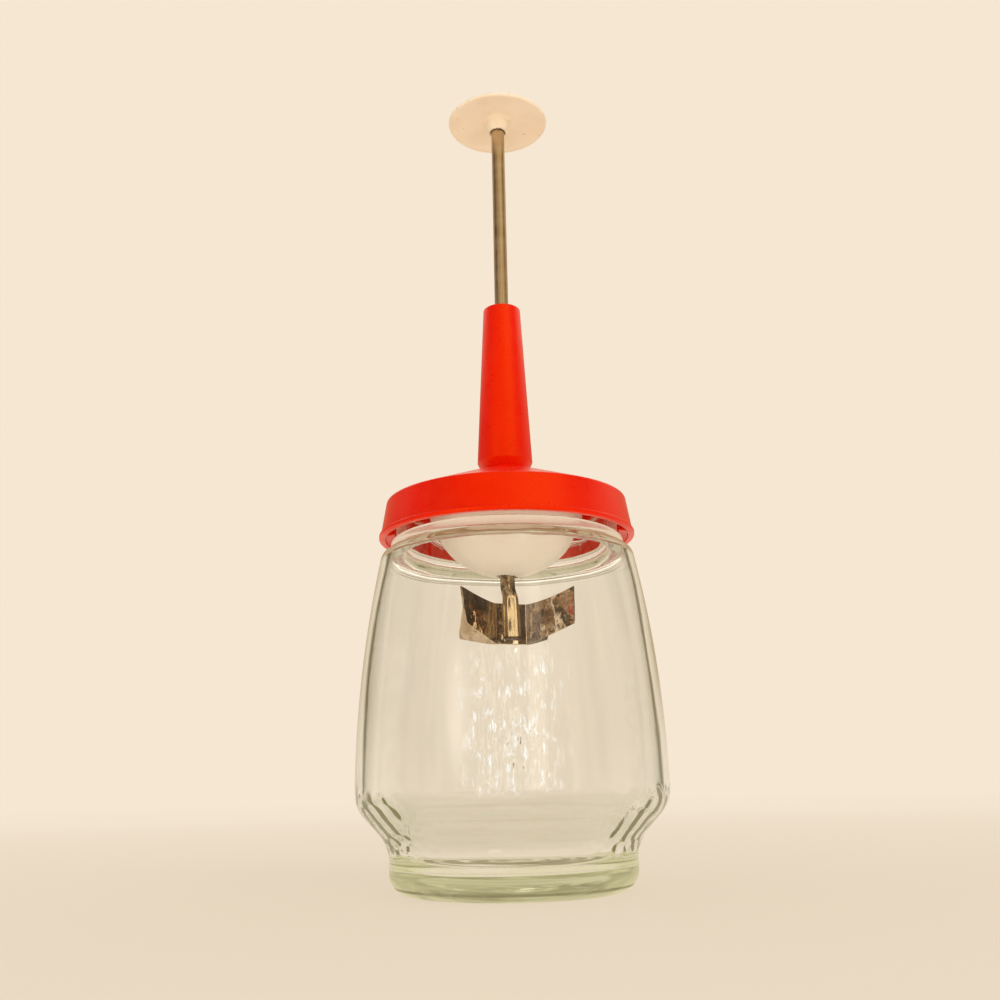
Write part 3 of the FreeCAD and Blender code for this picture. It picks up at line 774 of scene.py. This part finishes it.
def seal_outline():
    inner, outer = NECK_BORE - 0.4, NECK_RADIUS + 1.3
    return rounded([(inner, JAR_HEIGHT, 0.2), (outer, JAR_HEIGHT, 0.2),
                    (outer, SEAL_TOP, 0.2), (inner, SEAL_TOP, 0.2)])


def cup_outline():
    """The bowl, from the hole's lower edge round the outside and back inside."""
    inner = CUP_RADIUS - CUP_WALL
    collar_top = cone_underside(CUP_RADIUS) - 0.3
    hole = math.degrees(math.asin(ROD_GUIDE / CUP_RADIUS))
    boss = math.degrees(math.asin(6.2 / inner))
    outside = arc((0, CUP_MIDDLE), CUP_RADIUS, hole - 90, 0, 48)
    inside = arc((0, CUP_MIDDLE), inner, 0, boss - 90, 40)
    return (outside + [(CUP_RADIUS, collar_top - 0.4), (CUP_RADIUS - 0.2, collar_top),
                       (inner + 0.2, collar_top), (inner, collar_top - 0.4)]
            + inside + [(6.2, SPRING_SEAT), (ROD_GUIDE, SPRING_SEAT)])


def spring_points():
    """A round wire wound along the spring's line, with closed end turns."""
    steps, around = 28, 10
    turns = np.linspace(0, SPRING_COILS, SPRING_COILS * steps + 1)
    ends = 1.2
    closed = np.minimum(turns, ends) + np.minimum(SPRING_COILS - turns, ends)
    low, high = SPRING_BOTTOM + SPRING_WIRE / 2, SPRING_TOP - SPRING_WIRE / 2
    rise = np.gradient(turns) * np.where(closed < 2 * ends - 1e-9, 0.18, 1.0)
    height = low + (high - low) * (np.cumsum(rise) - rise[0]) / (rise.sum() - rise[0])
    angle = turns * 2 * math.pi
    circle = np.linspace(0, 2 * math.pi, around, endpoint=False)
    radius = SPRING_RADIUS + SPRING_WIRE / 2 * np.cos(circle)[None, :]
    z = height[:, None] + SPRING_WIRE / 2 * np.sin(circle)[None, :]
    points = np.stack([radius * np.cos(angle)[:, None], radius * np.sin(angle)[:, None], z], -1)
    return points.reshape(-1, 3) * MM, capped_faces(len(turns), around)


# ---- plunger
def turn_plunger(points):
    spin = np.array(Matrix.Rotation(math.radians(PLUNGER_TURN), 3, "Z"))
    return np.asarray(points) @ spin.T


# Corners of the beaten tongue, seen from above.
TONGUE = [(-3.1, SPADE_BACK), (-3.1, -0.5), (-2.2, -1.65), (2.1, -2.1), (3.1, -0.9),
          (3.1, SPADE_BACK)]
TOP_ROUND = 0.6                 # of the rod's upper end


def around_polygon(corners, count):
    """Points at equal turns round a closed outline, as seen from its middle."""
    corners = np.array(corners)
    middle = corners.mean(0)
    side = np.roll(corners, -1, 0) - corners
    offset = corners - middle
    points = []
    for turn in np.linspace(0, 2 * math.pi, count, endpoint=False):
        ray = np.array([math.cos(turn), math.sin(turn)])
        cross = ray[0] * side[:, 1] - ray[1] * side[:, 0]
        with np.errstate(divide="ignore"):         # a side may lie along the ray
            reach = (offset[:, 0] * side[:, 1] - offset[:, 1] * side[:, 0]) / cross
            along = (offset[:, 0] * ray[1] - offset[:, 1] * ray[0]) / cross
        met = (reach > 0) & (along >= -1e-9) & (along <= 1 + 1e-9)
        points.append(middle + ray * reach[met].min())
    return np.array(points)


def rod_section(height, count):
    """Outline of the rod at a height: round above, with the clip's groove, and beaten to a
    tongue below."""
    turn = np.linspace(0, 2 * math.pi, count, endpoint=False)
    radius = ROD_RADIUS
    if CLIP_BOTTOM - 0.01 < height < CLIP_TOP + 0.01:
        radius = 1.9
    into_round = height - ROD_TOP + TOP_ROUND
    if into_round > 0:
        radius -= TOP_ROUND - math.sqrt(max(0, TOP_ROUND**2 - into_round**2))
    circle = np.stack([radius * np.cos(turn), radius * np.sin(turn)], -1)
    flat = 1 - smooth_step(height, SPADE_TOP - 2.0, SPADE_TOP + 2.4)
    crown = smooth_step(height, SPADE_BOTTOM, SPADE_TOP)
    tongue = around_polygon(TONGUE, count) * (1 - 0.12 * crown, 1)
    tongue = tongue + (SPADE_OFFSET - 0.3 * crown, 0)
    return circle * (1 - flat) + tongue * flat


def rod_points():
    """The rod as rings up its length, close together on the tongue and in the round on top."""
    heights = np.concatenate([
        np.linspace(SPADE_BOTTOM, SPADE_BOTTOM + 0.4, 3),
        np.linspace(81.6, 99.5, 46),
        np.linspace(101, CLIP_BOTTOM - 0.05, 60),
        [CLIP_BOTTOM, CLIP_TOP],
        np.linspace(CLIP_TOP + 0.05, 282, 50),
        ROD_TOP - TOP_ROUND + TOP_ROUND * np.sin(np.linspace(0, math.pi / 2, 6))])
    count = 64
    rings = []
    for height in heights:
        ring = rod_section(height, count)
        if height < SPADE_BOTTOM + 0.3:            # the tongue's foot is drawn in a little
            middle = np.array([SPADE_OFFSET, -0.85])
            shrink = 0.35 * (1 - (height - SPADE_BOTTOM) / 0.3)
            ring = middle + (ring - middle) * (1 - shrink * 0.3)
            ring[:, 1] = np.minimum(ring[:, 1], SPADE_BACK)
        rings.append(np.column_stack([ring, np.full(count, height)]))
    points = np.concatenate(rings)
    dents = waves(np.arctan2(points[:, 1], points[:, 0]), points[:, 2], 31, (2, 7), (6, 18), 16)
    beaten = (1 - smooth_step(points[:, 2], 95, 98.5)) * (points[:, 1] < -0.2)
    points[:, 1] += 0.03 * dents * beaten
    points[:, 1] = np.maximum(points[:, 1], -ROD_RADIUS)
    return turn_plunger(points) * MM, capped_faces(len(heights), count)


WING = 18.2
BLADE_HEIGHT = 13.8
FLAT_HALF = 5.1
BEND_ROUND = 0.8
BEVEL = 2.4
EDGE = 0.15
# A wing's degrees of bend and bow, then in millimetres how much its ground and upper edges
# rise to the tip, and how far the tip is cut back at its lower and upper corners.
Wing = namedtuple("Wing", "bend bow edge_rise top_rise low_cut high_cut")
FRONT_RIGHT = Wing(46.5, 14, 5.3, 4.2, 0.0, 0.0)
FRONT_LEFT = Wing(38.5, 12, 5.3, 3.4, 2.4, 0.0)
REAR_RIGHT = Wing(48.0, 0, 3.9, 4.2, 0.0, 0.0)
REAR_LEFT = Wing(64.0, 0, 3.9, 4.2, 0.4, 4.0)


def half_strip(bend, bow):
    """Stations from the middle of a strip to one wing's tip: (point, outward, along, share).
    The wing turns back by bow degrees from its root to its tip."""
    def directions(turn):
        out, across = math.cos(turn), math.sin(turn)
        return np.array([across, out]), np.array([out, -across])

    bend, bow = math.radians(bend), math.radians(bow)
    stations = [((x, -BLADE_THICKNESS), (0, 1), (1, 0), 0.0)
                for x in np.linspace(0, FLAT_HALF, 8)[:-1]]
    centre = np.array([FLAT_HALF, -BLADE_THICKNESS - BEND_ROUND])
    for turn in np.linspace(0, bend + bow / 2, 9)[:-1]:
        outward, along = directions(turn)
        stations.append((centre + outward * BEND_ROUND, outward, along, 0.0))
    here = centre + directions(bend + bow / 2)[0] * BEND_ROUND
    steps = 30
    for share in np.linspace(0, 1, steps):
        outward, along = directions(bend + bow * (0.5 - share))
        stations.append((here, outward, along, share))
        here = here + along * WING / (steps - 1)
    return stations


def blade_section(share, wing):
    """Once round a strip at a wing's share of its length, as (depth, height)."""
    low = BLADE_BOTTOM + wing.edge_rise * share ** 1.15
    high = BLADE_BOTTOM + BLADE_HEIGHT + wing.top_rise * share ** 1.7
    inner = [(0.0, z) for z in np.linspace(low + 0.1, high - 0.12, 16)]
    outer = [(BLADE_THICKNESS, z) for z in np.linspace(high - 0.12, low + BEVEL, 12)]
    bevel = [(BLADE_THICKNESS - (BLADE_THICKNESS - EDGE) * t, low + BEVEL * (1 - t))
             for t in np.linspace(0, 1, 5)[1:]]
    return np.array(inner + [(0.12, high), (BLADE_THICKNESS - 0.12, high)] + outer + bevel)


def blade_points(right, left, turned_round):
    """A bent strip with its back on the plane y = 0, wings towards -Y, ground to an edge below."""
    stations = [(*station, right, 1) for station in half_strip(right.bend, right.bow)]
    others = [(*station, left, -1) for station in half_strip(left.bend, left.bow)]
    rings = []
    for point, outward, along, share, wing, side in others[:0:-1] + stations:
        section = blade_section(share, wing)
        depth, height = section[:, :1], section[:, 1:]
        up = (height - height.min()) / (height.max() - height.min())
        cut = share * (wing.low_cut * (1 - up) + wing.high_cut * up)
        plan = np.array(point) + depth * np.array(outward) - cut * np.array(along)
        rings.append(np.column_stack([plan * (side, 1), height]))
    faces = capped_faces(len(rings), len(rings[0]))
    points = np.concatenate(rings) * ((-1, -1, 1) if turned_round else (1, 1, 1))
    return turn_plunger(points + (SPADE_OFFSET, SPADE_BACK + BLADE_THICKNESS, 0)) * MM, faces


def knob_outline():
    """Shallow domed disc, hollow below, with a hub that the rod is pressed into."""
    edge, rim = KNOB_RADIUS - 0.75, 0.75
    rim_top = KNOB_RIM_BOTTOM + 2 * rim
    crown, hollow = 3.3, 2.0
    crown_radius = (edge**2 + crown**2) / (2 * crown)
    hollow_radius = (edge**2 + hollow**2) / (2 * hollow)
    crown_centre = (0, rim_top + crown - crown_radius)
    hollow_centre = (0, KNOB_RIM_BOTTOM + hollow - hollow_radius)
    bore, foot_round, root_round = ROD_RADIUS + 0.02, 0.35, 1.4
    root = 4.3 + root_round
    root_height = hollow_centre[1] + math.sqrt(hollow_radius**2 - root**2)
    edge_turn = math.degrees(math.acos(edge / crown_radius))
    hollow_edge = math.degrees(math.acos(edge / hollow_radius))
    hollow_root = math.degrees(math.acos(root / hollow_radius))
    hub = [(0, ROD_TOP + 0.02), (bore, ROD_TOP + 0.02), (bore, HUB_BOTTOM + foot_round),
           (bore + foot_round, HUB_BOTTOM), (3.45, HUB_BOTTOM), (3.67, HUB_BOTTOM + 0.1),
           (3.75, HUB_BOTTOM + foot_round), (4.25, root_height - 1.45)]
    return (hub + arc((root, root_height - root_round), root_round, 180, 96, 8)
            + arc(hollow_centre, hollow_radius, hollow_root, hollow_edge + 1.0, 20)[1:]
            + arc((edge, KNOB_RIM_BOTTOM + rim), rim, -90, 90, 12)
            + arc(crown_centre, crown_radius, edge_turn + 0.6, 90, 24))


# ---- building the object
def build_jar(material):
    outline = jar_outline()
    mouth = max(k for k, p in enumerate(outline) if p[1] > JAR_HEIGHT - 0.01)
    # Degrees round the axis: columns are close together at the back, where the droplets are.
    fine, coarse = np.arange(56, 124, 0.5), np.arange(124, 416, 1.2)
    points, faces = turned(outline, np.radians(np.concatenate([fine, coarse])), jar_shape(mouth))
    make_piece("jar_glass", points, faces, "jar", "jar_glass", material, ["jar"])


def build_object():
    red = red_material()
    blades = blade_material()
    spring_steel = plain_metal("spring_steel", (170, 166, 160), (120, 114, 106))
    washer_steel = plain_metal("washer_steel", (200, 196, 188), (150, 144, 134))
    cup_plastic = cup_material()
    buffer_rubber = plain_soft("buffer_rubber", (52, 48, 44), (34, 30, 28), 0.55, 0.75)
    seal_rubber = plain_soft("seal_rubber", (226, 214, 194), (206, 190, 166), 0.45, 0.65)
    bush_plastic = plain_soft("bush_plastic", (224, 212, 190), (204, 188, 160), 0.35, 0.5)
    build_jar(glass_material())
    for name, outline, columns, shape, body, slot, material, node in (
            ("seal_band", seal_outline(), 160, None, "seal", "seal_rubber", seal_rubber,
             "sealing_ring"),
            ("lid_shell", lid_outline(), 360, lid_shape, "lid", "red_plastic", red, "lid"),
            ("sleeve_shell", sleeve_outline(), 128, None, "lid", "red_plastic", red,
             "guide_sleeve"),
            ("bush_ring", bush_outline(), 64, None, "lid", "bush_plastic", bush_plastic,
             "rod_bush"),
            ("cup_bowl", cup_outline(), 160, None, "lid", "cup_plastic", cup_plastic,
             "guard_cup"),
            ("knob_disc", knob_outline(), 160, None, "plunger", "knob_plastic",
             knob_material(), "knob")):
        points, faces = turned(outline, columns, shape)
        make_piece(name, points, faces, body, slot, material, [node])
    make_piece("plunger_bar", *rod_points(), "plunger", "rod_steel", rod_material(),
               ["plunger_rod"], 50)
    front = blade_points(FRONT_RIGHT, FRONT_LEFT, False)
    rear = blade_points(REAR_LEFT, REAR_RIGHT, True)
    make_piece("blade_front", *front, "plunger", "blade_steel", blades, ["front_blade"], 25)
    make_piece("blade_rear", *rear, "plunger", "blade_steel", blades, ["rear_blade"], 25)
    coil = make_piece("spring_coil", *spring_points(), "lid", "spring_steel", spring_steel,
                      ["return_spring"])
    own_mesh(coil)
    kept = {"sleeve_nut": cup_plastic, "stop_buffer": buffer_rubber,
            "upper_spring_washer": washer_steel, "lower_spring_washer": washer_steel,
            "retaining_clip": spring_steel}
    for node, material in kept.items():
        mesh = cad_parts[node].data
        mesh.materials.clear()
        mesh.materials.append(material)


# ---- camera, floor and light
CAMERA_PLACE = (0.0, -0.357, 0.0328)
CAMERA_PITCH = 15.24
CAMERA_ROLL = -1.19
CAMERA_YAW = 0.33
FOCAL_PIXELS = 1050.0
IMAGE_WIDTH = 1000.0
SENSOR = 36.0
# The floor's colour near the object, darker as a painted shade.
NEAR_FLOOR_SHADE = (237, 221, 198)
NEAR_GLOW = 0.6                 # share of the near floor's look that isn't lit, so not shaded
LIGHT_LEVEL = (0.78, 0.775, 0.765)


def build_camera():
    data = bpy.data.cameras.new("camera")
    data.sensor_width = SENSOR
    data.lens = FOCAL_PIXELS / IMAGE_WIDTH * SENSOR
    data.clip_start, data.clip_end = 0.01, 100.0
    camera = add_object("camera", data)
    aim = (Matrix.Rotation(math.radians(CAMERA_YAW), 3, "Z")
           @ Matrix.Rotation(math.radians(90 + CAMERA_PITCH), 3, "X")
           @ Matrix.Rotation(math.radians(CAMERA_ROLL), 3, "Z"))
    camera.matrix_world = Matrix.Translation(CAMERA_PLACE) @ aim.to_4x4()
    bpy.context.scene.camera = camera


def build_floor():
    """A pale floor that keeps part of the object's shadow, is painted darker towards the object as
    a painted shade, and fades into the background further out. What comes through the glass passes
    it, and sees the world's plain lower half."""
    side = 40.0
    mesh = bpy.data.meshes.new("floor")
    mesh.from_pydata([(-side, -side, 0), (side, -side, 0), (side, side, 0), (-side, side, 0)], [],
                     [(0, 1, 2, 3)])
    floor = add_object("floor", mesh)
    floor.visible_shadow = False
    material = bpy.data.materials.new("floor")
    tree = empty_tree(material)
    away = from_axis(tree)
    # Painted shade: the floor darkens towards the object.
    near = scaled(away, 1.0, 0.12)
    colour = blend(near, linear(BACKGROUND), linear(NEAR_FLOOR_SHADE))
    matte = put(tree, "BsdfDiffuse", {"Color": colour}).outputs[0]
    rays = put(tree, "LightPath").outputs
    seen = maths("ADD", rays["Is Camera Ray"], rays["Is Glossy Ray"])
    share = product(seen, scaled(away, 0.5, 2.5, NEAR_GLOW, 1.0))
    look = mix_shaders(share, matte, glow(tree, colour))
    clear = put(tree, "BsdfTransparent", {"Color": (1.0, 1.0, 1.0, 1.0)}).outputs[0]
    look = mix_shaders(rays["Is Transmission Ray"], look, clear)
    put(tree, "OutputMaterial", {"Surface": look})
    mesh.materials.append(material)


# What gloss and metal see all round, by azimuth from the front to the right in degrees.
ROOM = [(-180, (186, 166, 128)), (-150, (172, 150, 112)), (-118, (96, 66, 40)),
        (-60, (44, 32, 22)), (-46, (110, 86, 58)), (-12, (206, 184, 150)), (16, (240, 224, 194)),
        (44, (240, 224, 194)), (64, (150, 120, 84)), (84, (110, 84, 56)), (100, (190, 166, 134)),
        (126, (190, 166, 134)), (150, (172, 150, 112)), (180, (186, 166, 128))]
# What is seen out through the glass, also in the blades: behind, the background with a bright
# and a dark strip on each side of it, and in front the room.
PALE_STRIP = (258, 243, 224)
DARK_STRIP = (96, 92, 62)
THROUGH = [(-180, BACKGROUND), (-172, BACKGROUND), (-160, PALE_STRIP), (-148, PALE_STRIP),
           (-143, DARK_STRIP), (-124, DARK_STRIP), (-116, (240, 224, 198)),
           (-92, (240, 224, 198)), (-84, (48, 34, 22)), (-66, (112, 82, 54)),
           (-50, (140, 106, 72)), (-10, (104, 78, 50)), (11, (84, 62, 40)), (15, (255, 238, 206)),
           (25, (255, 238, 206)), (30, (96, 70, 46)), (100, (44, 30, 20)), (122, (44, 30, 20)),
           (126, DARK_STRIP), (143, DARK_STRIP), (148, PALE_STRIP), (160, PALE_STRIP),
           (172, BACKGROUND), (180, BACKGROUND)]
CEILING_BEHIND = (1.5, 1.4, 1.25, 1.0)
WINDOW = (3.4, 3.2, 2.9, 1.0)
CLUTTER_BRIGHT = (214, 184, 150)
CLUTTER_DARK = (34, 22, 14)
CLUTTER_SHARE = 0.8
LIT_WALL = (2.2, 1.95, 1.6, 1.0)
LID_GLOW = (176, 60, 44)
SIDE_WINDOW = (1.1, 0.95, 0.78, 1.0)
ABOVE = (128, 108, 76)
GLINT = (1.9, 1.8, 1.6, 1.0)


def round_about(azimuth, stops):
    shares = [((angle + 180) / 360, colour) for angle, colour in stops]
    return colour_steps(scaled(azimuth, -180, 180), shares)


def patch(azimuth, elevation, across, up):
    """One inside a patch of the surroundings. Across and up are low, high and edge in degrees."""
    return product(soft_box(azimuth, *across), soft_box(elevation, *up))


def room_colour(azimuth, elevation, y):
    """The room, with a pale ceiling behind, a window at the front left and the plain floor."""
    behind = product(scaled(y, 0.0, 0.5), scaled(elevation, 22, 40))
    room = blend(behind, round_about(azimuth, ROOM), CEILING_BEHIND)
    window = patch(azimuth, elevation, (-40, -37, 14), (0, 13, 8))
    room = blend(window, room, WINDOW)
    return blend(scaled(elevation, 7, 0), room, linear(BACKGROUND))


def through_colour(tree, azimuth, elevation, y):
    """What is seen out through the glass: clutter and bright patches in front, the background
    below, and a darker tone above, with a bright line behind where it begins."""
    clutter = put(tree, "TexNoise", {"Vector": put(tree, "TexCoord").outputs["Generated"],
                                     "Scale": 5.0, "Detail": 4.0, "Roughness": 0.6})
    clutter = clutter.outputs["Fac"]
    front = scaled(y, 0.1, -0.1)
    through = round_about(azimuth, THROUGH)
    for share, seen in ((scaled(clutter, 0.53, 0.57), CLUTTER_BRIGHT),
                        (scaled(clutter, 0.48, 0.42), CLUTTER_DARK)):
        share = product(share, front, CLUTTER_SHARE)
        through = blend(share, through, linear(seen))
    lid_glow = patch(azimuth, elevation, (-44, -40, 1.5), (10, 14, 1.5))
    side_window = patch(azimuth, elevation, (-55, -54, 3), (4, 30, 8))
    glint = patch(maths("ABSOLUTE", azimuth), elevation, (158, 181, 3), (18.6, 21, 0.8))
    for share, seen in ((soft_box(azimuth, 15, 25, 3), LIT_WALL),
                        (lid_glow, linear(LID_GLOW)), (side_window, SIDE_WINDOW),
                        (scaled(elevation, -3, -12), linear(BACKGROUND)),
                        (scaled(elevation, 28, 34), linear(ABOVE)), (glint, GLINT)):
        through = blend(share, through, seen)
    return through


def build_world():
    """Even light, a plain pale background, and a room for metal and gloss to reflect."""
    world = bpy.data.worlds.new("studio")
    bpy.context.scene.world = world
    tree = empty_tree(world)
    direction = put(tree, "SeparateXYZ", {0: put(tree, "TexCoord").outputs["Generated"]})
    x, y, z = direction.outputs[:3]
    azimuth = maths("DEGREES", maths("ARCTAN2", x, product(y, -1.0)))
    elevation = maths("DEGREES", maths("ARCSINE", z))
    rays = put(tree, "LightPath").outputs
    colour = (*LIGHT_LEVEL, 1.0)
    for ray, seen in (("Is Camera Ray", linear(BACKGROUND)),
                      ("Is Glossy Ray", room_colour(azimuth, elevation, y)),
                      ("Is Transmission Ray", through_colour(tree, azimuth, elevation, y))):
        colour = blend(rays[ray], colour, seen)
    sky = put(tree, "Background", {"Color": colour, "Strength": 1.0})
    put(tree, "OutputWorld", {"Surface": sky.outputs[0]})


def build_lamp(name, direction, strength, angle, colour):
    """A soft distant lamp that shines from a direction, and doesn't show in gloss."""
    data = bpy.data.lights.new(name, "SUN")
    data.energy = strength
    data.angle = math.radians(angle)
    data.color = colour
    lamp = add_object(name, data)
    lamp.rotation_mode = "QUATERNION"
    lamp.rotation_quaternion = Vector(direction).to_track_quat("Z", "Y")
    lamp.visible_glossy = lamp.visible_transmission = False


build_camera()
build_object()
build_floor()
build_world()
build_lamp("key", (0.45, -0.62, 0.75), 0.6, 40, (1.0, 0.98, 0.95))
build_lamp("fill", (0.1, -0.85, -0.5), 1.66, 80, (1.0, 0.97, 0.92))
bpy.context.scene.view_settings.view_transform = "Standard"
